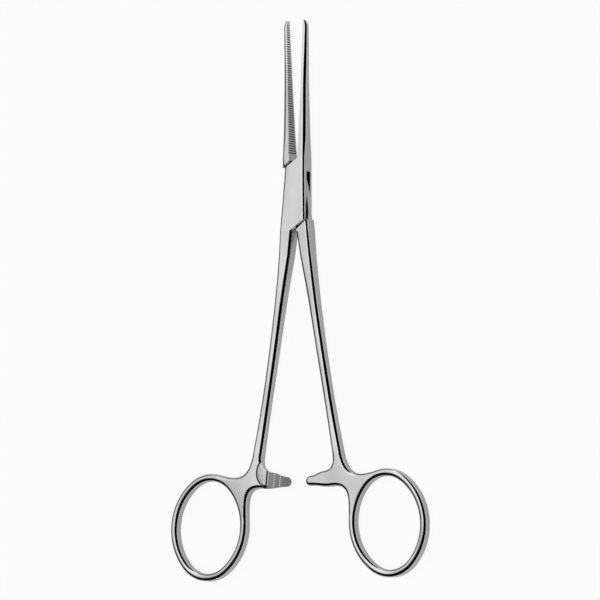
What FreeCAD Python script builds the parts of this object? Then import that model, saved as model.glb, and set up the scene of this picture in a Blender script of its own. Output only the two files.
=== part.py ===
import FreeCAD, Part
import math
import os

# Straight artery forceps with a box lock, lying on its back face and a little open.
# Millimetres and degrees. X points right, Y towards the tips, Z up towards the viewer.
# The origin is on the pin's axis, on the flat back face of the lock.
# Each half is drawn as it stands with the tips shut and is then swung to the pose shown.
# The box half has the left ring and the right jaw. The through half is the other way round.

# Angle between the halves in the pose shown, from tips shut
OPENING = 5.8

# Box lock
LOCK_THICKNESS = 5.0
LOCK_HALF_LENGTH = 10.6
LOCK_UPPER_HALF_WIDTH = 3.1
LOCK_LOWER_HALF_WIDTH = 4.1
CHEEK_END = 9.8
END_SLANT = 37.0
SHOULDER_CLEARANCE = 0.5
TONGUE_THICKNESS = 1.75
TONGUE_FACE_CLEARANCE = 0.04
TONGUE_END_CLEARANCE = 0.15
TONGUE_SIDE_END = 6.5
LOCK_CORE_MARGIN = 0.1
SHANK_GAP = 0.5

# Pivot pin, riveted into both cheeks and ground flush
PIN_DIAMETER = 2.5
PIN_HEAD_DIAMETER = 3.4
PIN_HEAD_DEPTH = 0.4
PIN_RUNNING_CLEARANCE = 0.04

# Jaws
JAW_LENGTH = 50.2
TIP_CLEARANCE = 0.05
JAW_RELIEF = 1.02
JAW_BASE = 13.5
JAW_BASE_WIDTH = 2.35
JAW_MIDDLE_WIDTH = 1.81
JAW_TIP_WIDTH = 1.35
JAW_BASE_THICKNESS = 4.4
JAW_MIDDLE_THICKNESS = 3.05
JAW_TIP_THICKNESS = 2.0
JAW_BACK_RADIUS = 1.25
NOSE_LENGTH = 2.2
NOSE_END_THICKNESS = 1.2
SERRATION_PITCH = 0.68
SERRATION_DEPTH = 0.28
SERRATION_LAND = 0.1
SERRATION_START = 11.4
SERRATION_END_MARGIN = 0.5

# Shanks: distance below the pin, distance from the middle line, width and thickness
SHANK_TOP = 15.9
SHANK_TOP_OFFSET = 2.46
SHANK_TOP_WIDTH = 3.74
SHANK_TOP_THICKNESS = 4.5
SHANK_UPPER = 29.6
SHANK_UPPER_OFFSET = 3.8
SHANK_UPPER_WIDTH = 3.0
SHANK_UPPER_THICKNESS = 3.75
SHANK_MIDDLE = 46.0
SHANK_MIDDLE_OFFSET = 5.52
SHANK_MIDDLE_WIDTH = 2.7
SHANK_MIDDLE_THICKNESS = 3.3
SHANK_WAIST = 62.0
SHANK_WAIST_OFFSET = 7.46
SHANK_WAIST_WIDTH = 2.7
SHANK_WAIST_THICKNESS = 3.1
SHANK_END_ABOVE_ARM = 7.8
SHANK_END_OFFSET = 9.05
SHANK_END_WIDTH = 3.0
SHANK_EDGE_RADIUS = 1.1

# Finger rings
RING_OFFSET = 24.1
RING_BELOW_ARM = 13.7
RING_OPENING_LENGTH = 26.5
RING_OPENING_WIDTH = 20.5
RING_END_RADIUS = 8.0
RING_TILT = 3.5
RING_WALL = 2.15
RING_THICKNESS = 3.4
RING_EDGE_RADIUS = 0.95
SADDLE_ANGLE = 10.0
WEB_ANGLE = 7.0

# Ratchet arms
ARM_RADIUS = 81.8
ARM_ROOT_WIDTH = 4.8
ARM_TIP_WIDTH = 2.9
ARM_OVERLAP = 2.6
ARM_TAPER_FULLNESS = 0.33
ARM_TOP_ANGLE = 3.2
ARM_UNDERSIDE_ANGLE = 4.6
TOOTH_COUNT = 3
TOOTH_PITCH = 2.0
TOOTH_HEIGHT = 0.62
TOOTH_LAND = 0.25
TOOTH_STEEP_RUN = 0.25
FIRST_TOOTH = 3.0
TIP_SLOPE = 21.0
STEP_GAP = 0.2

# Hollow ground into each web, where the other arm slides over it
SCOOP_OFFSET = 6.6
SCOOP_ABOVE_ARM = 2.4
SCOOP_LENGTH = 7.2
SCOOP_WIDTH = 4.7
SCOOP_FLOOR = 0.4
SCOOP_ANGLE = 15.0

# Rounding of the lock's edges, and how far a curve that joins two outlines keeps its direction
EDGE_RADIUS = 0.8
JOIN_FULLNESS = 0.55
ARM_JOIN_FULLNESS = 0.5
LARGEST_ROUNDING = 0.45

# How near to the cut end of a bow an edge or face has to be, to be taken for part of it
END_MARGIN = 0.2

# Length at a shank's end over which its direction is taken for the bow's outline
END_SLOPE_RUN = 1.0

# How many sections each lofted stretch has, and how far round its quarter turn the nose goes
SHANK_SECTIONS = 9
JAW_SECTIONS = 6
NOSE_SECTIONS = 3
LAST_NOSE_SHARE = 0.82

# Places worked out from the sizes above
MIDDLE = LOCK_THICKNESS / 2
SHANK_END = ARM_RADIUS - SHANK_END_ABOVE_ARM
SCOOP_DISTANCE = ARM_RADIUS - SCOOP_ABOVE_ARM
RING_DISTANCE = ARM_RADIUS + RING_BELOW_ARM
SLANT = math.radians(END_SLANT)
SHOULDER_END = CHEEK_END + SHOULDER_CLEARANCE / math.cos(SLANT)
SLOT_THICKNESS = TONGUE_THICKNESS + 2 * TONGUE_FACE_CLEARANCE
LOCK_HALF_WIDTH = (LOCK_UPPER_HALF_WIDTH + LOCK_LOWER_HALF_WIDTH) / 2
BEYOND = 2 * (RING_DISTANCE + RING_OPENING_LENGTH)
RING_CENTRE = FreeCAD.Vector(RING_OFFSET, -RING_DISTANCE, 0)


def point(x, y, z=0.0):
    return FreeCAD.Vector(x, y, z)


def smooth_value(stations, place):
    """Value at a place on a smooth line through (place, value) stations, with no overshoot."""
    stations = sorted(stations)
    count = len(stations)
    runs = [stations[n + 1][0] - stations[n][0] for n in range(count - 1)]
    rises = [(stations[n + 1][1] - stations[n][1]) / runs[n] for n in range(count - 1)]
    slopes = [rises[0]]
    for n in range(1, count - 1):
        level = rises[n - 1] * rises[n] <= 0
        slopes.append(0.0 if level else 2 / (1 / rises[n - 1] + 1 / rises[n]))
    slopes.append(rises[-1])
    n = 0
    while n < count - 2 and place > stations[n + 1][0]:
        n += 1
    t = (place - stations[n][0]) / runs[n]
    start = stations[n][1] * (1 + 2 * t) * (1 - t) ** 2 + slopes[n] * runs[n] * t * (1 - t) ** 2
    end = stations[n + 1][1] * t * t * (3 - 2 * t) + slopes[n + 1] * runs[n] * t * t * (t - 1)
    return start + end


def bridge(start, leaving, end, arriving, fullness):
    """A curve between two places, tangent to a direction at each."""
    reach = start.distanceToPoint(end) * fullness
    first = FreeCAD.Vector(leaving).normalize() * reach
    last = FreeCAD.Vector(arriving).normalize() * reach
    curve = Part.BezierCurve()
    curve.setPoles([start, start + first, end - last, end])
    return curve


def slab(corners, low, high):
    """A prism over a flat polygon of (x, y) corners, between two heights."""
    places = [point(x, y, low) for x, y in corners]
    outline = Part.makePolygon(places + [places[0]])
    return Part.Face(outline).extrude(point(0, 0, high - low))


def lock_half_width(y):
    """Half the width of the lock at y; it widens evenly from its jaw end to its shank end."""
    share = (LOCK_HALF_LENGTH - y) / (2 * LOCK_HALF_LENGTH)
    return LOCK_UPPER_HALF_WIDTH + (LOCK_LOWER_HALF_WIDTH - LOCK_UPPER_HALF_WIDTH) * share


def jaw_face(y):
    """Distance of the gripping face from the middle line with the tips shut."""
    return TIP_CLEARANCE / 2 + (JAW_LENGTH - y) * math.tan(math.radians(JAW_RELIEF))


def jaw_width(y):
    """Width of a jaw; the back of the nose is a quarter of an ellipse."""
    nose = JAW_LENGTH - NOSE_LENGTH
    middle = (JAW_BASE + nose) / 2
    stations = [
        (LOCK_HALF_LENGTH, LOCK_UPPER_HALF_WIDTH - jaw_face(LOCK_HALF_LENGTH)),
        (JAW_BASE, JAW_BASE_WIDTH),
        (middle, JAW_MIDDLE_WIDTH),
        (nose, JAW_TIP_WIDTH),
    ]
    if y <= nose:
        return smooth_value(stations, y)
    return JAW_TIP_WIDTH * math.sqrt(1 - ((y - nose) / NOSE_LENGTH) ** 2)


def jaw_thickness(y):
    """Thickness of a jaw, from the flat lock to the nose, which is rounded off."""
    nose = JAW_LENGTH - NOSE_LENGTH
    stations = [
        (0.0, LOCK_THICKNESS),
        (LOCK_HALF_LENGTH, LOCK_THICKNESS),
        (JAW_BASE, JAW_BASE_THICKNESS),
        ((JAW_BASE + nose) / 2, JAW_MIDDLE_THICKNESS),
        (nose, JAW_TIP_THICKNESS),
    ]
    if y <= nose:
        return smooth_value(stations, y)
    fall = JAW_TIP_THICKNESS - NOSE_END_THICKNESS
    return NOSE_END_THICKNESS + fall * math.sqrt(1 - ((y - nose) / NOSE_LENGTH) ** 2)


def jaw_back_radius(y):
    """Rounding of a jaw's back edges, which grows from the lock to the base of the jaw."""
    stations = [(0.0, EDGE_RADIUS), (LOCK_HALF_LENGTH, EDGE_RADIUS), (JAW_BASE, JAW_BACK_RADIUS)]
    return smooth_value(stations, min(y, JAW_BASE))


def shank_sizes(down):
    """Inner edge, outer edge, thickness and rounding of a shank, at a distance below the pin."""
    top_inner = SHANK_GAP / 2
    places = [SHANK_TOP, SHANK_UPPER, SHANK_MIDDLE, SHANK_WAIST, SHANK_END]
    offsets = [SHANK_TOP_OFFSET, SHANK_UPPER_OFFSET, SHANK_MIDDLE_OFFSET, SHANK_WAIST_OFFSET]
    offsets.append(SHANK_END_OFFSET)
    widths = [SHANK_TOP_WIDTH, SHANK_UPPER_WIDTH, SHANK_MIDDLE_WIDTH, SHANK_WAIST_WIDTH]
    widths.append(SHANK_END_WIDTH)
    depths = [SHANK_TOP_THICKNESS, SHANK_UPPER_THICKNESS, SHANK_MIDDLE_THICKNESS]
    depths += [SHANK_WAIST_THICKNESS, RING_THICKNESS]
    inner = [(0.0, top_inner), (LOCK_HALF_LENGTH, top_inner)]
    outer = [(0.0, lock_half_width(0.0)), (LOCK_HALF_LENGTH, LOCK_LOWER_HALF_WIDTH)]
    depth = [(0.0, LOCK_THICKNESS), (LOCK_HALF_LENGTH, LOCK_THICKNESS)]
    for place, offset, width, thickness in zip(places, offsets, widths, depths):
        inner.append((place, offset - width / 2))
        outer.append((place, offset + width / 2))
        depth.append((place, thickness))
    rounding = [(LOCK_HALF_LENGTH, EDGE_RADIUS), (SHANK_UPPER, SHANK_EDGE_RADIUS)]
    rounding += [(SHANK_WAIST, SHANK_EDGE_RADIUS), (SHANK_END, RING_EDGE_RADIUS)]
    return [smooth_value(stations, down) for stations in (inner, outer, depth, rounding)]


def corner_arc(outer, y, way, height, rise, radius):
    """A rounded corner in a cross-section, from its side at outer to its flat at a height."""
    chord = radius * (1 - math.sqrt(0.5))
    return Part.Arc(
        point(outer, y, height - rise * radius),
        point(outer - way * chord, y, height - rise * chord),
        point(outer - way * radius, y, height),
    ).toShape()


def section(y, inner, outer, thickness, radius, both_rounded):
    """A cross-section at y from inner to outer, with two or all four corners rounded."""
    room = abs(outer - inner) * (1 if both_rounded else 2)
    radius = min(radius, LARGEST_ROUNDING * thickness, LARGEST_ROUNDING * room)
    way = 1 if outer > inner else -1
    low = MIDDLE - thickness / 2
    high = MIDDLE + thickness / 2
    outer_flat = outer - way * radius
    inner_flat = inner + way * radius if both_rounded else inner
    edges = [
        Part.makeLine(point(outer, y, low + radius), point(outer, y, high - radius)),
        corner_arc(outer, y, way, high, 1, radius),
        Part.makeLine(point(outer_flat, y, high), point(inner_flat, y, high)),
    ]
    if both_rounded:
        edges.append(corner_arc(inner, y, -way, high, 1, radius))
        edges.append(Part.makeLine(point(inner, y, high - radius), point(inner, y, low + radius)))
        edges.append(corner_arc(inner, y, -way, low, -1, radius))
    else:
        edges.append(Part.makeLine(point(inner, y, high), point(inner, y, low)))
    edges.append(Part.makeLine(point(inner_flat, y, low), point(outer_flat, y, low)))
    edges.append(corner_arc(outer, y, way, low, -1, radius))
    return Part.Wire(Part.__sortEdges__(edges))


def polar(radius, angle):
    """A place round the pin, at an angle from straight down towards the half's own ring."""
    return point(radius * math.sin(angle), -radius * math.cos(angle))


def along_arc(angle):
    """The direction round the pin from the middle line towards the half's own ring."""
    return point(math.cos(angle), math.sin(angle))


def oval_arcs(outside):
    """Centre, radius, start and end angle of the four arcs round the ring, outside its opening.

    They are its right side, upper end, left side and lower end, with the ring upright.
    """
    half_length = RING_OPENING_LENGTH / 2
    half_width = RING_OPENING_WIDTH / 2
    end = RING_END_RADIUS
    side = (half_length**2 + half_width**2 - 2 * half_length * end) / (2 * (half_width - end))
    rise = half_length - end
    shift = side - half_width
    join = math.atan2(rise, shift)
    return [
        (point(-shift, 0), side + outside, -join, join),
        (point(0, rise), end + outside, join, math.pi - join),
        (point(shift, 0), side + outside, math.pi - join, math.pi + join),
        (point(0, -rise), end + outside, math.pi + join, 2 * math.pi - join),
    ]


def ring_arc(number, outside, start=None, end=None):
    """One arc round the ring, in its place, whole or between two angles about its centre."""
    centre, radius, first, last = oval_arcs(outside)[number]
    circle = Part.Circle(centre, point(0, 0, 1), radius)
    arc = Part.ArcOfCircle(circle, first if start is None else start, last if end is None else end)
    arc.rotate(FreeCAD.Placement(point(0, 0), point(0, 0, 1), RING_TILT))
    arc.translate(RING_CENTRE)
    return arc


def end_run(arc, last):
    """The direction of travel at the last or the first point of an arc."""
    return arc.tangent(arc.LastParameter if last else arc.FirstParameter)[0]


def bow_outline():
    """The outline of ring, web and ratchet arm, closed across the cut end of the shank."""
    inner, outer, _, _ = shank_sizes(SHANK_END)
    inner_above, outer_above, _, _ = shank_sizes(SHANK_END - END_SLOPE_RUN)
    inner_run = point(inner - inner_above, -END_SLOPE_RUN)
    outer_run = point(outer - outer_above, -END_SLOPE_RUN)
    inner_end = point(inner, -SHANK_END)
    outer_end = point(outer, -SHANK_END)
    root_half = ARM_ROOT_WIDTH / 2
    tip_half = ARM_TIP_WIDTH / 2
    top_angle = math.radians(ARM_TOP_ANGLE)
    under_angle = math.radians(ARM_UNDERSIDE_ANGLE)
    tip_angle = -(ARM_OVERLAP / 2 - tip_half) / ARM_RADIUS
    nose_angle = -ARM_OVERLAP / 2 / ARM_RADIUS
    arm_top = polar(ARM_RADIUS - root_half, top_angle)
    arm_under = polar(ARM_RADIUS + root_half, under_angle)
    tip_top = polar(ARM_RADIUS - tip_half, tip_angle)
    tip_under = polar(ARM_RADIUS + tip_half, tip_angle)
    tip_nose = polar(ARM_RADIUS, nose_angle)
    top_run = along_arc(top_angle) * -1
    tip_run = along_arc(tip_angle)
    under_run = along_arc(under_angle)
    left_side = ring_arc(2, RING_WALL, start=math.pi - math.radians(WEB_ANGLE))
    upper_end = ring_arc(1, RING_WALL, end=math.pi / 2 + math.radians(SADDLE_ANGLE))
    return [
        bridge(inner_end, inner_run, arm_top, top_run, ARM_JOIN_FULLNESS),
        bridge(arm_top, top_run, tip_top, tip_run * -1, ARM_TAPER_FULLNESS),
        Part.Arc(tip_top, tip_nose, tip_under),
        bridge(tip_under, tip_run, arm_under, under_run, ARM_TAPER_FULLNESS),
        bridge(arm_under, under_run, left_side.StartPoint, end_run(left_side, False), JOIN_FULLNESS),
        left_side,
        ring_arc(3, RING_WALL),
        ring_arc(0, RING_WALL),
        upper_end,
        bridge(upper_end.EndPoint, end_run(upper_end, True), outer_end, outer_run * -1, JOIN_FULLNESS),
        Part.LineSegment(outer_end, inner_end),
    ]


def rounded_bow():
    """Ring, web and arm as one flat piece with all its edges rounded, apart from its cut end."""
    outline = Part.Wire([curve.toShape() for curve in bow_outline()])
    opening = Part.Wire([ring_arc(number, 0.0).toShape() for number in range(4)])
    face = Part.Face(outline).cut(Part.Face(opening)).Faces[0]
    face.translate(point(0, 0, MIDDLE - RING_THICKNESS / 2))
    plate = face.extrude(point(0, 0, RING_THICKNESS))
    radius = min(RING_EDGE_RADIUS, LARGEST_ROUNDING * RING_THICKNESS, LARGEST_ROUNDING * RING_WALL)
    edges = [edge for edge in plate.Edges if is_level(edge) and not at_cut_end(edge)]
    return plate.makeFillet(radius, edges)


def is_level(shape):
    """Whether an edge lies flat rather than upright."""
    return shape.BoundBox.ZLength < RING_THICKNESS / 2


def at_cut_end(shape):
    """Whether a shape of the bow lies across its cut end."""
    return shape.BoundBox.YMin > -SHANK_END - END_MARGIN


def shank():
    """The shank, lofted through rounded sections from the bow's cut end up to the lock."""
    end_faces = [face for face in rounded_bow().Faces if at_cut_end(face)]
    sections = [end_faces[0].OuterWire]
    for step in range(1, SHANK_SECTIONS + 1):
        down = SHANK_END + (LOCK_HALF_LENGTH - SHANK_END) * step / SHANK_SECTIONS
        inner, outer, depth, radius = shank_sizes(down)
        sections.append(section(-down, inner, outer, depth, radius, True))
    return Part.makeLoft(sections, True, True)


def jaw_section(y):
    """The cross-section of a jaw at y: a flat gripping face and a rounded back."""
    inner = -jaw_face(y)
    return section(y, inner, inner - jaw_width(y), jaw_thickness(y), jaw_back_radius(y), False)


def jaw():
    """The jaw and its nose, lofted one after the other; the back edges are rounded."""
    nose = JAW_LENGTH - NOSE_LENGTH
    run = (nose - LOCK_HALF_LENGTH) / JAW_SECTIONS
    turn = math.pi / 2 * LAST_NOSE_SHARE / NOSE_SECTIONS
    places = [LOCK_HALF_LENGTH + run * step for step in range(JAW_SECTIONS + 1)]
    nose_places = [nose + NOSE_LENGTH * math.sin(turn * step) for step in range(NOSE_SECTIONS + 1)]
    return [Part.makeLoft([jaw_section(y) for y in row], True, True) for row in (places, nose_places)]


def beyond(start, end):
    """Everything on the left of a line from start to end, as a cutting block."""
    run = (end - start).normalize() * BEYOND
    left = point(-run.y, run.x)
    corners = [start - run, end + run, end + run + left, start - run + left]
    return slab([(corner.x, corner.y) for corner in corners], -BEYOND, BEYOND)


def shifted(start, end, distance):
    """A line from start to end, moved to its left."""
    run = (end - start).normalize()
    left = point(-run.y, run.x) * distance
    return start + left, end + left


def on_line(start, end, x):
    """The place at x on a line through two places."""
    return point(x, start.y + (end.y - start.y) * (x - start.x) / (end.x - start.x))


def tongue_ends():
    """Upper and lower end of the tongue; each runs so that the lock is on its right."""
    throat_x = -jaw_face(LOCK_HALF_LENGTH)
    crotch_x = SHANK_GAP / 2
    throat = point(throat_x, SHOULDER_END + throat_x * math.tan(SLANT))
    crotch = point(crotch_x, crotch_x * math.tan(SLANT) - SHOULDER_END)
    upper_side = point(lock_half_width(TONGUE_SIDE_END), TONGUE_SIDE_END)
    lower_side = point(-lock_half_width(-TONGUE_SIDE_END), -TONGUE_SIDE_END)
    return (throat, upper_side), (crotch, lower_side)


def cheek_ends():
    """Upper and lower end of the cheeks, as drawn for a half whose ring is on the right."""
    rise = LOCK_HALF_WIDTH * math.tan(SLANT)
    upper = (point(-LOCK_HALF_WIDTH, CHEEK_END + rise), point(LOCK_HALF_WIDTH, CHEEK_END - rise))
    lower = (point(LOCK_HALF_WIDTH, -rise - CHEEK_END), point(-LOCK_HALF_WIDTH, rise - CHEEK_END))
    return upper, lower


def lock_root(inner, way, both_rounded):
    """The part of the lock that a shank or a jaw runs into, between the lock's two ends."""
    sections = []
    for y in (-LOCK_HALF_LENGTH, LOCK_HALF_LENGTH):
        outer = way * lock_half_width(y)
        sections.append(section(y, inner, outer, LOCK_THICKNESS, EDGE_RADIUS, both_rounded))
    return Part.makeLoft(sections, True, True)


def blank(ends):
    """Bow, shank, lock and jaw in one, with the lock's open corners cut back to its ends."""
    upper, lower = ends
    upper_cut = beyond(*upper)
    lower_cut = beyond(*lower)
    shank_root = lock_root(SHANK_GAP / 2, 1, True)
    jaw_root = lock_root(-jaw_face(LOCK_HALF_LENGTH), -1, False)
    upper_half = LOCK_UPPER_HALF_WIDTH - EDGE_RADIUS - LOCK_CORE_MARGIN
    lower_half = LOCK_LOWER_HALF_WIDTH - EDGE_RADIUS - LOCK_CORE_MARGIN
    corners = [
        (-lower_half, -LOCK_HALF_LENGTH),
        (lower_half, -LOCK_HALF_LENGTH),
        (upper_half, LOCK_HALF_LENGTH),
        (-upper_half, LOCK_HALF_LENGTH),
    ]
    core = slab(corners, 0, LOCK_THICKNESS).cut(upper_cut).cut(lower_cut)
    lock = core.fuse([shank_root.cut(upper_cut), jaw_root.cut(lower_cut)])
    return lock.fuse([shank(), rounded_bow()] + jaw()).removeSplitter()


def serration_comb(shift):
    """The row of V grooves to cut across a gripping face, moved along it by a share of a pitch."""
    count = int((JAW_LENGTH - SERRATION_END_MARGIN - SERRATION_START) / SERRATION_PITCH - shift)
    flank_slope = 2 * SERRATION_DEPTH / (SERRATION_PITCH - SERRATION_LAND)
    proud = SERRATION_LAND / 2 * flank_slope
    first = SERRATION_START + shift * SERRATION_PITCH
    corners = []
    for number in range(count):
        crest = first + number * SERRATION_PITCH
        root = crest + SERRATION_PITCH / 2
        corners.append((proud - jaw_face(crest), crest))
        corners.append((-jaw_face(root) - SERRATION_DEPTH, root))
    last = first + count * SERRATION_PITCH
    corners.append((proud - jaw_face(last), last))
    clear = LOCK_HALF_WIDTH
    corners += [(clear, last), (clear, first)]
    return slab(corners, -LOCK_THICKNESS, 2 * LOCK_THICKNESS)


def ratchet_cut():
    """What is cut from the front of an arm to leave its teeth, from the tip to the web's step."""
    crest = MIDDLE + TOOTH_HEIGHT / 2
    root = MIDDLE - TOOTH_HEIGHT / 2
    above = 2 * LOCK_THICKNESS
    lead = ARM_TIP_WIDTH
    profile = [(-lead, crest - (FIRST_TOOTH + lead) * math.tan(math.radians(TIP_SLOPE)))]
    for number in range(TOOTH_COUNT):
        start = FIRST_TOOTH + number * TOOTH_PITCH
        profile.append((start, crest))
        profile.append((start + TOOTH_LAND, crest))
        profile.append((start + TOOTH_LAND + TOOTH_STEEP_RUN, root))
    profile.append((step_place(), root))
    profile.append((step_place(), above))
    profile.append((-lead, above))
    middle = FIRST_TOOTH + TOOTH_COUNT * TOOTH_PITCH / 2
    angle = (middle - ARM_OVERLAP / 2) / ARM_RADIUS
    low = -ARM_RADIUS - ARM_ROOT_WIDTH
    places = [point(place - middle, low, height) for place, height in profile]
    outline = Part.makePolygon(places + [places[0]])
    cutter = Part.Face(outline).extrude(point(0, 2 * ARM_ROOT_WIDTH, 0))
    cutter.rotate(point(0, 0), point(0, 0, 1), math.degrees(angle))
    return cutter


def step_place():
    """Distance from the arm's tip to the step where the teeth end."""
    return FIRST_TOOTH + (TOOTH_COUNT - 1) * TOOTH_PITCH + TOOTH_LAND + TOOTH_STEEP_RUN + STEP_GAP


def scoop_cut():
    """The hollow in the web beside the step: an oval with a floor that rises to the web's face."""
    step_x = step_place() - ARM_OVERLAP / 2
    floor = MIDDLE + SCOOP_FLOOR
    above = 2 * LOCK_THICKNESS
    rise = SCOOP_WIDTH * math.tan(math.radians(SCOOP_ANGLE))
    centre = point(SCOOP_OFFSET, -SCOOP_DISTANCE, floor)
    long_way = point(0, SCOOP_LENGTH / 2)
    across = point(-SCOOP_WIDTH / 2, 0)
    oval = Part.Wire([Part.Ellipse(centre + long_way, centre + across, centre).toShape()])
    column = Part.Face(oval).extrude(point(0, 0, above))
    far_x = step_x + SCOOP_WIDTH
    profile = [(0.0, floor), (step_x, floor), (far_x, floor + rise), (far_x, above), (0.0, above)]
    low = -SCOOP_DISTANCE - SCOOP_LENGTH
    places = [point(x, low, z) for x, z in profile]
    ramp = Part.Face(Part.makePolygon(places + [places[0]])).extrude(point(0, 2 * SCOOP_LENGTH, 0))
    return column.common(ramp)


def pivot_pin():
    """The pin with a flared head at each end, ground level with the cheeks."""
    radius = PIN_DIAMETER / 2
    head = PIN_HEAD_DIAMETER / 2
    profile = [
        (0.0, 0.0),
        (head, 0.0),
        (radius, PIN_HEAD_DEPTH),
        (radius, LOCK_THICKNESS - PIN_HEAD_DEPTH),
        (head, LOCK_THICKNESS),
        (0.0, LOCK_THICKNESS),
    ]
    places = [point(x, 0, z) for x, z in profile]
    outline = Part.makePolygon(places + [places[0]])
    return Part.Face(outline).revolve(point(0, 0), point(0, 0, 1), 360)


def turned_over(shape):
    """A shape mirrored in the lock's middle plane."""
    return shape.mirror(point(0, 0, MIDDLE), point(0, 0, 1))


def through_half():
    """Right ring, left jaw and the tongue that passes through the box."""
    half = blank(tongue_ends())
    reach = 2 * LOCK_HALF_WIDTH
    rise = reach * math.tan(SLANT)
    band = [
        (-reach, -SHOULDER_END - rise),
        (reach, -SHOULDER_END + rise),
        (reach, SHOULDER_END + rise),
        (-reach, SHOULDER_END - rise),
    ]
    below = slab(band, -LOCK_THICKNESS, MIDDLE - TONGUE_THICKNESS / 2)
    above = slab(band, MIDDLE + TONGUE_THICKNESS / 2, 2 * LOCK_THICKNESS)
    bore = Part.makeCylinder(PIN_DIAMETER / 2 + PIN_RUNNING_CLEARANCE, LOCK_THICKNESS)
    ratchet = turned_over(ratchet_cut())
    scoop = turned_over(scoop_cut())
    for cutter in [below, above, bore, ratchet, scoop, serration_comb(0.5)]:
        half = half.cut(cutter)
    half.rotate(point(0, 0), point(0, 0, 1), OPENING / 2)
    return half


def box_half(pin):
    """Left ring, right jaw and the two cheeks with the slot between them."""
    half = blank(cheek_ends())
    upper, lower = tongue_ends()
    upper = shifted(*upper, TONGUE_END_CLEARANCE)
    lower = shifted(*lower, TONGUE_END_CLEARANCE)
    reach = 2 * LOCK_HALF_WIDTH
    corners = [on_line(*lower, -reach), on_line(*lower, reach)]
    corners += [on_line(*upper, reach), on_line(*upper, -reach)]
    band = [(-corner.x, corner.y) for corner in corners]
    slot = slab(band, MIDDLE - SLOT_THICKNESS / 2, MIDDLE + SLOT_THICKNESS / 2)
    for cutter in [slot, ratchet_cut(), scoop_cut(), serration_comb(0.0)]:
        half = half.cut(cutter)
    half = half.mirror(point(0, 0), point(1, 0)).cut(pin)
    half.rotate(point(0, 0), point(0, 0, 1), -OPENING / 2)
    return half


def main():
    os.makedirs("parts", exist_ok=True)
    pin = pivot_pin()
    pieces = {"box_half": box_half(pin), "through_half": through_half(), "pivot_pin": pin}
    for name, shape in pieces.items():
        solids = shape.Solids
        print(name, "solids", len(solids), "valid", shape.isValid(), "mm3", round(shape.Volume, 2))
        solids[0].exportStep("parts/" + name + ".step")


if __name__ == "__main__":
    main()
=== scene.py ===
"""Looks of straight box-lock haemostatic forceps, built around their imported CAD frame.

The forceps lie flat on a pale floor, with the pivot on the Z axis, the jaws towards +Y and the
finger rings towards -Y. Every length is in metres, except where a name ends in _mm, and every
angle in a field is in degrees.
"""

import logging
import math
from dataclasses import dataclass
from enum import Enum

import bpy
import numpy as np
from mathutils import Matrix, Vector


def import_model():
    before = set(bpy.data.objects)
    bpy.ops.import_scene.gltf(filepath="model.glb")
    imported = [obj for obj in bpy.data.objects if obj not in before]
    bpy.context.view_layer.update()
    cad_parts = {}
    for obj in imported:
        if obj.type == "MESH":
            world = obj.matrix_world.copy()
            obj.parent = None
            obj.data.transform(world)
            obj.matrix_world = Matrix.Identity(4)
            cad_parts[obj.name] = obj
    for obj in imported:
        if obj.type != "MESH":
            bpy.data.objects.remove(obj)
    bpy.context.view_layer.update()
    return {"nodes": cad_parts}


Tree = bpy.types.NodeTree
Socket = bpy.types.NodeSocket

LOG = logging.getLogger("forceps")
MM = 0.001
WHITE = "FFFFFF"

SRGB_STRAIGHT_END = 0.04045
SRGB_STRAIGHT_SLOPE = 12.92
SRGB_OFFSET = 0.055
SRGB_POWER = 2.4

# A Mix node's colour sockets have the names of its number sockets, so they go by their places.
MIX_FROM = 6
MIX_TO = 7
MIX_RESULT = 2


def linear_colour(hex_code: str) -> tuple[float, float, float, float]:
    """Turns an sRGB colour into the linear one that shaders use.

    The darkest levels are divided by a slope. The others have an offset added, are scaled back
    so that 1 stays 1, and are raised to a power.

    Args:
        hex_code: Six hex digits, red first.

    Returns:
        Linear red, green and blue from 0 to 1, and an alpha of 1.
    """
    levels = np.array(list(bytes.fromhex(hex_code))) / 255
    straight = levels / SRGB_STRAIGHT_SLOPE
    curved = ((levels + SRGB_OFFSET) / (1 + SRGB_OFFSET)) ** SRGB_POWER
    linear = np.where(levels <= SRGB_STRAIGHT_END, straight, curved)
    return (*linear.tolist(), 1.0)


def add_node(
    tree: Tree, kind: str, sockets: dict | None = None, **settings: object
) -> bpy.types.Node:
    """Adds one shader node, with its settings, socket values and incoming links.

    Args:
        tree: The node tree that takes the node.
        kind: The node's Blender type, such as ShaderNodeMath.
        sockets: Input name or number, with a value, or an output socket to link from.
        **settings: Properties of the node itself.

    Returns:
        The new node.
    """
    node = tree.nodes.new(kind)
    for name, value in settings.items():
        setattr(node, name, value)
    for key, value in (sockets or {}).items():
        if isinstance(value, Socket):
            tree.links.new(value, node.inputs[key])
        else:
            node.inputs[key].default_value = value
    return node


def cleared_tree(owner: bpy.types.Material | bpy.types.World) -> Tree:
    """Empties the node tree of a material or a world.

    Args:
        owner: The material or the world.

    Returns:
        Its node tree, without the nodes that a new one starts with.
    """
    owner.use_nodes = True
    owner.node_tree.nodes.clear()
    return owner.node_tree


def grid_object(name: str, points: np.ndarray) -> bpy.types.Object:
    """Makes a mesh object from a grid of points, one quad to each cell.

    The points are numbered row by row, and a cell's corners are its point, the next one in the
    row, and these two in the next row, taken in order round the cell.

    Args:
        name: The object's name.
        points: An array of rows by columns by three coordinates.

    Returns:
        The object, linked to the scene, with smooth faces.
    """
    rows, columns = points.shape[:2]
    index = np.arange(rows * columns).reshape(rows, columns)
    corners = (index[:-1, :-1], index[:-1, 1:], index[1:, 1:], index[1:, :-1])
    faces = np.stack(corners, axis=-1).reshape(-1, 4)
    mesh = bpy.data.meshes.new(name)
    mesh.from_pydata(points.reshape(-1, 3).tolist(), [], faces.tolist())
    mesh.shade_smooth()
    piece = bpy.data.objects.new(name, mesh)
    bpy.context.scene.collection.objects.link(piece)
    return piece


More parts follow.
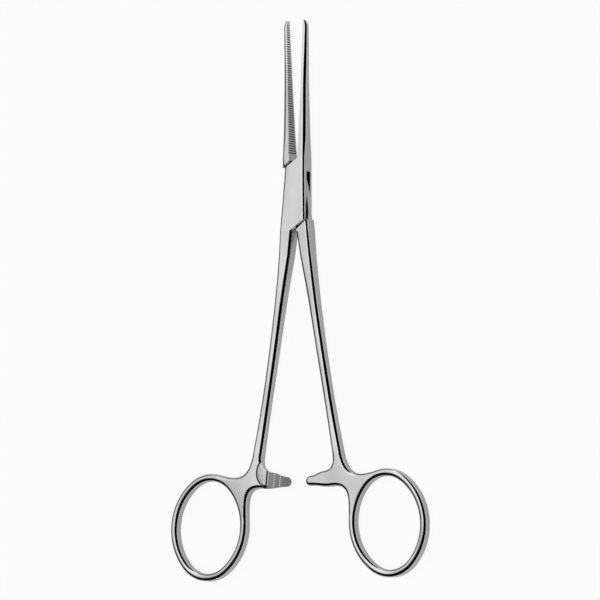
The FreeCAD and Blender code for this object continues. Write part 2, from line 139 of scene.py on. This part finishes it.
class Grain(Enum):
    """Which way polishing marks run, as how tightly their pattern is packed along each axis."""

    ALONG_LENGTH = (1.0, 0.08, 1.0)
    NO_DIRECTION = (1.0, 1.0, 1.0)


@dataclass(frozen=True)
class MilledTeeth:
    """Where the ratchet teeth were milled after the polish, which leaves them satin and grey.

    The place is an upright drum round the teeth, which reaches as far below the centre's height
    as above it.
    """

    centre_mm: tuple[float, float, float]
    radius_mm: float = 4.3
    fade_mm: float = 0.4
    reach_mm: float = 0.95
    roughness: float = 0.26

    def mask(self, tree: Tree, place: Socket) -> Socket:
        """Marks the teeth on a half's surface.

        The distance from the centre, seen from above, is compared with the radius, and the
        height above or below it with the reach.

        Args:
            tree: The steel's node tree.
            place: The Object coordinates.

        Returns:
            An output that is 1 on the teeth and 0 elsewhere.
        """
        x, y, z = (value * MM for value in self.centre_mm)
        flat = add_node(
            tree, "ShaderNodeVectorMath", {0: place, 1: (1.0, 1.0, 0.0)}, operation="MULTIPLY"
        )
        away = add_node(
            tree,
            "ShaderNodeVectorMath",
            {0: flat.outputs["Vector"], 1: (x, y, 0.0)},
            operation="DISTANCE",
        )
        height = add_node(tree, "ShaderNodeSeparateXYZ", {"Vector": place})
        level = add_node(
            tree,
            "ShaderNodeMath",
            {0: height.outputs["Z"], 1: z, 2: self.reach_mm * MM},
            operation="COMPARE",
        )
        near = add_node(
            tree,
            "ShaderNodeMapRange",
            {
                "Value": away.outputs["Value"],
                "From Min": self.radius_mm * MM,
                "From Max": (self.radius_mm + self.fade_mm) * MM,
                "To Min": 1.0,
                "To Max": 0.0,
            },
        )
        both = add_node(
            tree,
            "ShaderNodeMath",
            {0: near.outputs["Result"], 1: level.outputs[0]},
            operation="MULTIPLY",
        )
        return both.outputs[0]


@dataclass(frozen=True)
class SlotShadeLines:
    """Painted shade along both edges of the box half's slot, for the dark gap between the halves.

    The slot crosses the box slantwise. On the right side it ends near_end_mm from the pivot
    towards the jaws, and on the left side as far from it towards the rings. Its other ends are
    the box's own, and the lines stop at far_end_mm, just past them.
    """

    middle_mm: float = 2.5
    half_gap_mm: float = 0.95
    line_mm: float = 0.22
    near_end_mm: float = 6.6
    far_end_mm: float = 13.2

    def mask(self, tree: Tree, place: Socket) -> Socket:
        """Marks the painted shade on both edges of the slot.

        The height above or below the slot's middle is compared with half the gap, and y times
        the sign of x, which turns the left side into the right one, with the two ends.

        Args:
            tree: The steel's node tree.
            place: The Object coordinates.

        Returns:
            An output that is 1 on the lines and 0 elsewhere.
        """
        axes = add_node(tree, "ShaderNodeSeparateXYZ", {"Vector": place}).outputs
        from_middle = add_node(
            tree,
            "ShaderNodeMath",
            {0: axes["Z"], 1: self.middle_mm * MM},
            operation="SUBTRACT",
        )
        height = add_node(tree, "ShaderNodeMath", {0: from_middle.outputs[0]}, operation="ABSOLUTE")
        on_line = add_node(
            tree,
            "ShaderNodeMath",
            {0: height.outputs[0], 1: self.half_gap_mm * MM, 2: self.line_mm / 2 * MM},
            operation="COMPARE",
        )
        side = add_node(tree, "ShaderNodeMath", {0: axes["X"]}, operation="SIGN")
        along = add_node(
            tree,
            "ShaderNodeMath",
            {0: axes["Y"], 1: side.outputs[0]},
            operation="MULTIPLY",
        )
        short_of_end = add_node(
            tree,
            "ShaderNodeMath",
            {0: along.outputs[0], 1: self.near_end_mm * MM},
            operation="LESS_THAN",
        )
        on_box = add_node(
            tree,
            "ShaderNodeMath",
            {0: along.outputs[0], 1: -self.far_end_mm * MM},
            operation="GREATER_THAN",
        )
        inside = add_node(
            tree,
            "ShaderNodeMath",
            {0: short_of_end.outputs[0], 1: on_box.outputs[0]},
            operation="MULTIPLY",
        )
        line = add_node(
            tree,
            "ShaderNodeMath",
            {0: on_line.outputs[0], 1: inside.outputs[0]},
            operation="MULTIPLY",
        )
        return line.outputs[0]


@dataclass(frozen=True)
class PolishedSteel:
    """Stainless steel, forged, ground and buffed by hand on a cloth wheel.

    It gives the eye a bright, slightly soft mirror, with faint waves that the hand left. Grooves
    and gaps, where the wheel doesn't reach, are rougher, and their colour is darkened with painted
    shade from ambient occlusion. The wheel's real marks are some hundredths of a millimetre wide,
    too fine to show, so mark_width_mm draws them coarser.
    """

    name: str
    colour: str = "D6D6D5"
    shade: str = "C4C5C7"
    roughness: float = 0.08
    roughness_spread: float = 0.03
    mark_width_mm: float = 0.7
    mark_depth_mm: float = 0.0012
    mark_detail: float = 3.0
    mark_raggedness: float = 0.6
    grain: Grain = Grain.ALONG_LENGTH
    wave_width_mm: float = 8.0
    wave_stretch: tuple[float, float, float] = (1.0, 0.4, 1.0)
    wave_depth_mm: float = 0.8
    # Painted shade: the near-black that ambient occlusion lays into grooves, gaps and the slot's
    # edges.
    painted_groove_shade_colour: str = "141416"
    groove_roughness: float = 0.5
    shade_and_buff_reach_mm: float = 0.5
    least_open: float = 0.45
    most_open: float = 0.85
    openness_samples: int = 8
    teeth: MilledTeeth | None = None
    # Painted shade lines along the slot's edges, in the groove colour.
    slot: SlotShadeLines | None = None

    def material(self) -> bpy.types.Material:
        """Builds the steel's node material.

        Returns:
            A material whose marks and waves come from noise in Object coordinates.
        """
        material = bpy.data.materials.new(self.name)
        tree = cleared_tree(material)
        place = add_node(tree, "ShaderNodeTexCoord").outputs["Object"]
        marks = self.wheel_marks(tree, place)
        waves = self.hand_waves(tree, place)
        # 1 on open steel; elsewhere the colour gets painted shade and the roughness is higher.
        buffed = self.buffed_and_unshaded_share(tree, place)
        steel = add_node(
            tree,
            "ShaderNodeBsdfPrincipled",
            {
                "Base Color": self.tone(tree, waves, buffed),
                "Metallic": 1.0,
                "Roughness": self.dullness(tree, place, marks, buffed),
                "Normal": self.relief(tree, marks, waves),
            },
        )
        add_node(tree, "ShaderNodeOutputMaterial", {"Surface": steel.outputs["BSDF"]})
        return material

    def wheel_marks(self, tree: Tree, place: Socket) -> Socket:
        """Draws the marks of the buffing wheel.

        Args:
            tree: The steel's node tree.
            place: The Object coordinates.

        Returns:
            An output from 0 to 1, of noise as wide as a mark and long along the grain.
        """
        along = add_node(tree, "ShaderNodeMapping", {"Vector": place, "Scale": self.grain.value})
        marks = add_node(
            tree,
            "ShaderNodeTexNoise",
            {
                "Vector": along.outputs["Vector"],
                "Scale": 1 / (self.mark_width_mm * MM),
                "Detail": self.mark_detail,
                "Roughness": self.mark_raggedness,
            },
        )
        return marks.outputs["Fac"]

    def hand_waves(self, tree: Tree, place: Socket) -> Socket:
        """Draws the slow waves that grinding by hand leaves.

        Args:
            tree: The steel's node tree.
            place: The Object coordinates.

        Returns:
            An output from 0 to 1, of plain noise as wide as a wave.
        """
        slow = add_node(tree, "ShaderNodeMapping", {"Vector": place, "Scale": self.wave_stretch})
        waves = add_node(
            tree,
            "ShaderNodeTexNoise",
            {
                "Vector": slow.outputs["Vector"],
                "Scale": 1 / (self.wave_width_mm * MM),
                "Detail": 0.0,
            },
        )
        return waves.outputs["Fac"]

    def buffed_and_unshaded_share(self, tree: Tree, place: Socket) -> Socket:
        """Finds open steel, where nothing stands close to the surface: elsewhere it is rougher and
        has painted shade.

        Args:
            tree: The steel's node tree.
            place: The Object coordinates.

        Returns:
            An output that is 1 on open steel, and 0 deep in a groove and on the slot's edges.
        """
        # Ambient occlusion here paints shade into the steel's colour in grooves and gaps.
        openness = add_node(
            tree,
            "ShaderNodeAmbientOcclusion",
            {"Distance": self.shade_and_buff_reach_mm * MM},
            samples=self.openness_samples,
        )
        reached = add_node(
            tree,
            "ShaderNodeMapRange",
            {
                "Value": openness.outputs["AO"],
                "From Min": self.least_open,
                "From Max": self.most_open,
            },
        )
        if self.slot is None:
            return reached.outputs["Result"]
        off_line = add_node(
            tree,
            "ShaderNodeMath",
            {0: reached.outputs["Result"], 1: self.slot.mask(tree, place)},
            operation="SUBTRACT",
            use_clamp=True,
        )
        return off_line.outputs[0]

    def tone(self, tree: Tree, waves: Socket, buffed: Socket) -> Socket:
        """Mixes the steel's colour, a little uneven on open steel, with painted shade in the
        grooves.

        Args:
            tree: The steel's node tree.
            waves: The slow waves.
            buffed: Open steel; painted shade goes everywhere else.

        Returns:
            The colour output.
        """
        bright = add_node(
            tree,
            "ShaderNodeMix",
            {
                "Factor": waves,
                MIX_FROM: linear_colour(self.colour),
                MIX_TO: linear_colour(self.shade),
            },
            data_type="RGBA",
        )
        # Painted shade: the groove colour darkens the steel where ambient occlusion finds nearby
        # surfaces.
        either = add_node(
            tree,
            "ShaderNodeMix",
            {
                "Factor": buffed,
                MIX_FROM: linear_colour(self.painted_groove_shade_colour),
                MIX_TO: bright.outputs[MIX_RESULT],
            },
            data_type="RGBA",
        )
        return either.outputs[MIX_RESULT]

    def dullness(self, tree: Tree, place: Socket, marks: Socket, buffed: Socket) -> Socket:
        """Works out the roughness: of the marks, of milled teeth if there are any, of grooves.

        Args:
            tree: The steel's node tree.
            place: The Object coordinates.
            marks: The wheel's marks.
            buffed: Open steel, found by ambient occlusion; elsewhere the wheel doesn't reach.

        Returns:
            The roughness output.
        """
        marked = add_node(
            tree,
            "ShaderNodeMapRange",
            {
                "Value": marks,
                "To Min": self.roughness - self.roughness_spread,
                "To Max": self.roughness + self.roughness_spread,
            },
        )
        open_steel = marked.outputs["Result"]
        if self.teeth is not None:
            satin = add_node(
                tree,
                "ShaderNodeMix",
                {
                    "Factor": self.teeth.mask(tree, place),
                    "A": open_steel,
                    "B": self.teeth.roughness,
                },
            )
            open_steel = satin.outputs["Result"]
        either = add_node(
            tree,
            "ShaderNodeMix",
            {"Factor": buffed, "A": self.groove_roughness, "B": open_steel},
        )
        return either.outputs["Result"]

    def relief(self, tree: Tree, marks: Socket, waves: Socket) -> Socket:
        """Lays the fine marks over the slow waves.

        Args:
            tree: The steel's node tree.
            marks: The wheel's marks.
            waves: The slow waves.

        Returns:
            The normal output.
        """
        wavy = add_node(
            tree, "ShaderNodeBump", {"Height": waves, "Distance": self.wave_depth_mm * MM}
        )
        marked = add_node(
            tree,
            "ShaderNodeBump",
            {
                "Height": marks,
                "Distance": self.mark_depth_mm * MM,
                "Normal": wavy.outputs["Normal"],
            },
        )
        return marked.outputs["Normal"]


@dataclass(frozen=True)
class DressedNode:
    """A CAD node that keeps its own mesh and takes a finish."""

    node: str
    finish: PolishedSteel

    def dress(self, nodes: dict[str, bpy.types.Object]) -> bpy.types.Object:
        """Gives the node its material.

        Args:
            nodes: The frame's CAD nodes by name.

        Returns:
            The dressed node.
        """
        piece = nodes[self.node]
        material = self.finish.material()
        piece.data.materials.clear()
        piece.data.materials.append(material)
        LOG.info("%s wears %s", self.node, material.name)
        return piece


@dataclass(frozen=True)
class Forceps:
    """The two crossing halves and the pivot pin that joins them.

    Both halves are buffed alike and look like one bright metal, with long marks. The pin is ground
    flush after it is riveted, so its ends are a shade duller, without a direction.
    """

    box_half: DressedNode = DressedNode(
        "box_half",
        PolishedSteel(
            "buffed_stainless_steel_box",
            teeth=MilledTeeth(centre_mm=(-6.6, -81.6, 2.5)),
            # Painted shade lines on the slot's edges.
            slot=SlotShadeLines(),
        ),
    )
    through_half: DressedNode = DressedNode(
        "through_half",
        PolishedSteel(
            "buffed_stainless_steel_through", teeth=MilledTeeth(centre_mm=(6.6, -81.6, 2.5))
        ),
    )
    pin: DressedNode = DressedNode(
        "pivot_pin",
        PolishedSteel("ground_stainless_steel_pin", roughness=0.16, grain=Grain.NO_DIRECTION),
    )

    def build(self, nodes: dict[str, bpy.types.Object]) -> list[bpy.types.Object]:
        """Dresses every piece of the forceps.

        Args:
            nodes: The frame's CAD nodes by name.

        Returns:
            The pieces that show.
        """
        return [part.dress(nodes) for part in (self.box_half, self.through_half, self.pin)]


def seen_share(tree: Tree, direct: float, mirrored: float) -> Socket:
    """Gives how much of a plain white glow a ray of the camera finds on the backdrop.

    Args:
        tree: The node tree of the backdrop.
        direct: The share where the camera sees the backdrop itself, also through glass.
        mirrored: The share where it sees the backdrop in a mirror-like surface.

    Returns:
        An output that is 0 for every other ray, so that the glow lights nothing.
    """
    path = add_node(tree, "ShaderNodeLightPath").outputs
    either = add_node(
        tree,
        "ShaderNodeMath",
        {0: path["Is Camera Ray"], 1: path["Is Transmission Ray"]},
        operation="MAXIMUM",
    )
    glossy = add_node(
        tree,
        "ShaderNodeMath",
        {0: path["Is Glossy Ray"], 1: mirrored},
        operation="MULTIPLY",
    )
    total = add_node(
        tree,
        "ShaderNodeMath",
        {0: either.outputs[0], 1: direct, 2: glossy.outputs[0]},
        operation="MULTIPLY_ADD",
    )
    return total.outputs[0]


@dataclass(frozen=True)
class Softbox:
    """A soft rectangular lamp that faces the forceps, tilted towards -X from overhead.

    Its size is first across the forceps and then along them, and its power is in watts.
    """

    name: str
    tilt: float
    size: tuple[float, float]
    power: float
    distance: float = 2.0

    def build(self) -> None:
        """Hangs the lamp at its distance, in the plane across the forceps."""
        lamp = bpy.data.lights.new(self.name, "AREA")
        lamp.shape = "RECTANGLE"
        lamp.size, lamp.size_y = self.size
        lamp.energy = self.power
        angle = math.radians(self.tilt)
        towards = Vector((-math.sin(angle), 0, math.cos(angle)))
        holder = bpy.data.objects.new(self.name, lamp)
        holder.location = towards * self.distance
        holder.rotation_euler = (0, -angle, 0)
        bpy.context.scene.collection.objects.link(holder)
        LOG.info("lamp %s stands at %s", self.name, tuple(round(v, 2) for v in holder.location))


@dataclass(frozen=True)
class Shades:
    """How light a card is at angles from overhead, even between one angle and the next."""

    angles: tuple[float, ...]
    levels: tuple[float, ...]

    def at(self, degrees: np.ndarray) -> np.ndarray:
        """Gives the level at each angle."""
        return np.interp(degrees, self.angles, self.levels)


@dataclass(frozen=True)
class GraduatedDome:
    """A dome over the forceps that only mirror-like surfaces see: white, fading to black.

    It stands for the card that photographers bend round polished steel. It is white on the left,
    where the lamps are, and black on the right and towards the rings, and its fade gives the steel
    its bright bands and dark lines.
    """

    name: str = "graduated_dome"
    across: Shades = Shades(
        (-90.0, -66.0, -56.0, -46.0, -36.0, -28.0, -15.0, -5.0, 3.0, 9.0, 15.0, 90.0),
        (0.02, 0.03, 0.3, 0.75, 0.9, 1.1, 1.4, 1.3, 0.8, 0.15, 0.0, 0.0),
    )
    lengthwise: Shades = Shades(
        (-90.0, -20.0, -12.0, -4.0, 2.0, 7.0, 60.0, 90.0),
        (0.0, 0.0, 0.12, 0.75, 0.97, 1.0, 1.0, 0.6),
    )
    radius: float = 1.2
    rings: int = 91
    sectors: int = 181
    unseen_by: tuple[str, ...] = ("camera", "diffuse", "transmission", "volume_scatter", "shadow")

    def build(self) -> None:
        """Makes the dome, shades it and keeps it from every ray but a mirrored one."""
        points = self.points()
        dome = grid_object(self.name, points * self.radius)
        shade = dome.data.attributes.new("shade", "FLOAT", "POINT")
        shade.data.foreach_set("value", self.levels(points).ravel().astype(np.float32))
        dome.data.materials.append(self.material())
        for ray in self.unseen_by:
            setattr(dome, f"visible_{ray}", False)
        LOG.info("dome %s stands %g m from the forceps", self.name, self.radius)

    def points(self) -> np.ndarray:
        """Works out the upper half of a globe of radius 1.

        A point's height is the cosine of its angle down from overhead. Its x and y are the sine
        of that angle, times the cosine and the sine of its turn round the Z axis.

        Returns:
            An array of rings by sectors by three coordinates.
        """
        down = np.radians(np.linspace(0.0, 90.0, self.rings))[:, None]
        turn = np.radians(np.linspace(0.0, 360.0, self.sectors))[None, :]
        x = np.sin(down) * np.cos(turn)
        y = np.sin(down) * np.sin(turn)
        z = np.broadcast_to(np.cos(down), x.shape)
        return np.stack((x, y, z), axis=-1)

    def levels(self, points: np.ndarray) -> np.ndarray:
        """Shades the dome: the level for the tilt across, times the one for the tilt lengthwise.

        Args:
            points: The dome's points, in an array that ends in three coordinates.

        Returns:
            The level of each point.
        """
        x, y, z = np.moveaxis(points, -1, 0)
        across = self.across.at(np.degrees(np.arctan2(x, z)))
        lengthwise = self.lengthwise.at(np.degrees(np.arctan2(y, z)))
        return across * lengthwise

    def material(self) -> bpy.types.Material:
        """Makes matt card that glows with its own shade, so that no lamp leaves a patch on it.

        Returns:
            A material whose glow is the dome's "shade" attribute.
        """
        material = bpy.data.materials.new("shaded_card")
        tree = cleared_tree(material)
        painted = add_node(tree, "ShaderNodeAttribute", attribute_name="shade")
        glow = add_node(tree, "ShaderNodeEmission", {"Strength": painted.outputs["Fac"]})
        add_node(tree, "ShaderNodeOutputMaterial", {"Surface": glow.outputs[0]})
        return material


@dataclass(frozen=True)
class Studio:
    """The pale floor, the white surroundings, the lamps and the dome.

    The floor is matt white paper, which gives the eye nothing but a soft shadow. To the camera
    backdrop_share of it is a plain white glow and the rest is the lit paper, and where the steel
    mirrors it the glow's part is mirrored_share.
    """

    floor_half_side: float = 4.0
    paper_colour: str = "D6D6D6"
    backdrop_share: float = 0.93
    mirrored_share: float = 0.2
    world_level: float = 0.4
    softboxes: tuple[Softbox, ...] = (
        Softbox("overhead_softbox", tilt=2.0, size=(0.5, 2.2), power=15.0),
        Softbox("side_softbox", tilt=50.0, size=(0.7, 2.2), power=17.0),
    )
    dome: GraduatedDome = GraduatedDome()

    def build(self) -> None:
        """Builds everything that stands round the forceps."""
        self.build_floor()
        self.build_world()
        for part in (*self.softboxes, self.dome):
            part.build()

    def build_floor(self) -> None:
        """Makes a flat square floor at height 0 that looks white and keeps the shadow on it."""
        side = np.array([-1.0, 1.0]) * self.floor_half_side
        across, along = np.meshgrid(side, side)
        floor = grid_object("floor", np.stack((across, along, np.zeros_like(across)), axis=-1))
        floor.data.materials.append(self.paper())

    def paper(self) -> bpy.types.Material:
        """Makes the floor's matt white paper.

        Returns:
            A material that mixes lit paper with a white glow that only some rays see.
        """
        material = bpy.data.materials.new("white_paper")
        tree = cleared_tree(material)
        share = seen_share(tree, self.backdrop_share, self.mirrored_share)
        lit = add_node(tree, "ShaderNodeBsdfDiffuse", {"Color": linear_colour(self.paper_colour)})
        glow = add_node(tree, "ShaderNodeEmission", {"Color": linear_colour(WHITE)})
        mixed = add_node(
            tree,
            "ShaderNodeMixShader",
            {0: share, 1: lit.outputs[0], 2: glow.outputs[0]},
        )
        add_node(tree, "ShaderNodeOutputMaterial", {"Surface": mixed.outputs[0]})
        return material

    def build_world(self) -> None:
        """Makes the surroundings white where they are seen and a plain soft light elsewhere."""
        world = bpy.data.worlds.new("white_room")
        bpy.context.scene.world = world
        tree = cleared_tree(world)
        white = linear_colour(WHITE)
        light = add_node(
            tree, "ShaderNodeBackground", {"Color": white, "Strength": self.world_level}
        )
        seen = add_node(tree, "ShaderNodeBackground", {"Color": white, "Strength": 1.0})
        mixed = add_node(
            tree,
            "ShaderNodeMixShader",
            {0: seen_share(tree, 1.0, 1.0), 1: light.outputs[0], 2: seen.outputs[0]},
        )
        add_node(tree, "ShaderNodeOutputWorld", {"Surface": mixed.outputs[0]})


@dataclass(frozen=True)
class PhotoCamera:
    """The camera, high above the floor, turned right of overhead and a little towards the rings.

    It looks at aim_mm from a distance. The turn is from overhead towards +X and the lift from
    there towards -Y, and the roll is about its own line of sight.
    """

    aim_mm: tuple[float, float, float] = (-0.84, -29.81, -0.33)
    distance: float = 1.6769
    turn: float = 28.663
    lift: float = 4.508
    roll: float = 0.301
    focal_pixels: float = 5882.9
    photo_pixels: int = 600
    sensor_mm: float = 36.0
    nearest_seen: float = 0.05
    furthest_seen: float = 50.0

    def build(self) -> None:
        """Makes the camera and gives it to the scene.

        The line back to the camera is a unit vector from the turn and the lift. The camera's
        right is the level direction across that line, rolled about it, and its up is square to
        both.
        """
        turn, lift, roll = (math.radians(v) for v in (self.turn, self.lift, self.roll))
        back = Vector(
            (math.sin(turn) * math.cos(lift), -math.sin(lift), math.cos(turn) * math.cos(lift))
        )
        level = Vector((math.cos(turn), 0, -math.sin(turn)))
        right = math.cos(roll) * level - math.sin(roll) * back.cross(level)
        up = back.cross(right)
        data = bpy.data.cameras.new("photo_camera")
        data.sensor_width = self.sensor_mm
        data.lens = self.focal_pixels * self.sensor_mm / self.photo_pixels
        data.clip_start = self.nearest_seen
        data.clip_end = self.furthest_seen
        camera = bpy.data.objects.new("photo_camera", data)
        axes = Matrix((right, up, back)).transposed().to_4x4()
        place = Vector(self.aim_mm) * MM + back * self.distance
        camera.matrix_world = Matrix.Translation(place) @ axes
        bpy.context.scene.collection.objects.link(camera)
        bpy.context.scene.camera = camera


def main() -> None:
    """Empties the file, loads the frame, dresses the forceps and builds what is round them."""
    logging.basicConfig(level=logging.INFO, format="%(name)s: %(message)s")
    bpy.ops.wm.read_factory_settings(use_empty=True)
    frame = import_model()
    pieces = Forceps().build(frame["nodes"])
    LOG.info("%d pieces dressed", len(pieces))
    Studio().build()
    PhotoCamera().build()
    bpy.context.scene.view_settings.view_transform = "Standard"


if __name__ == "__main__":
    main()
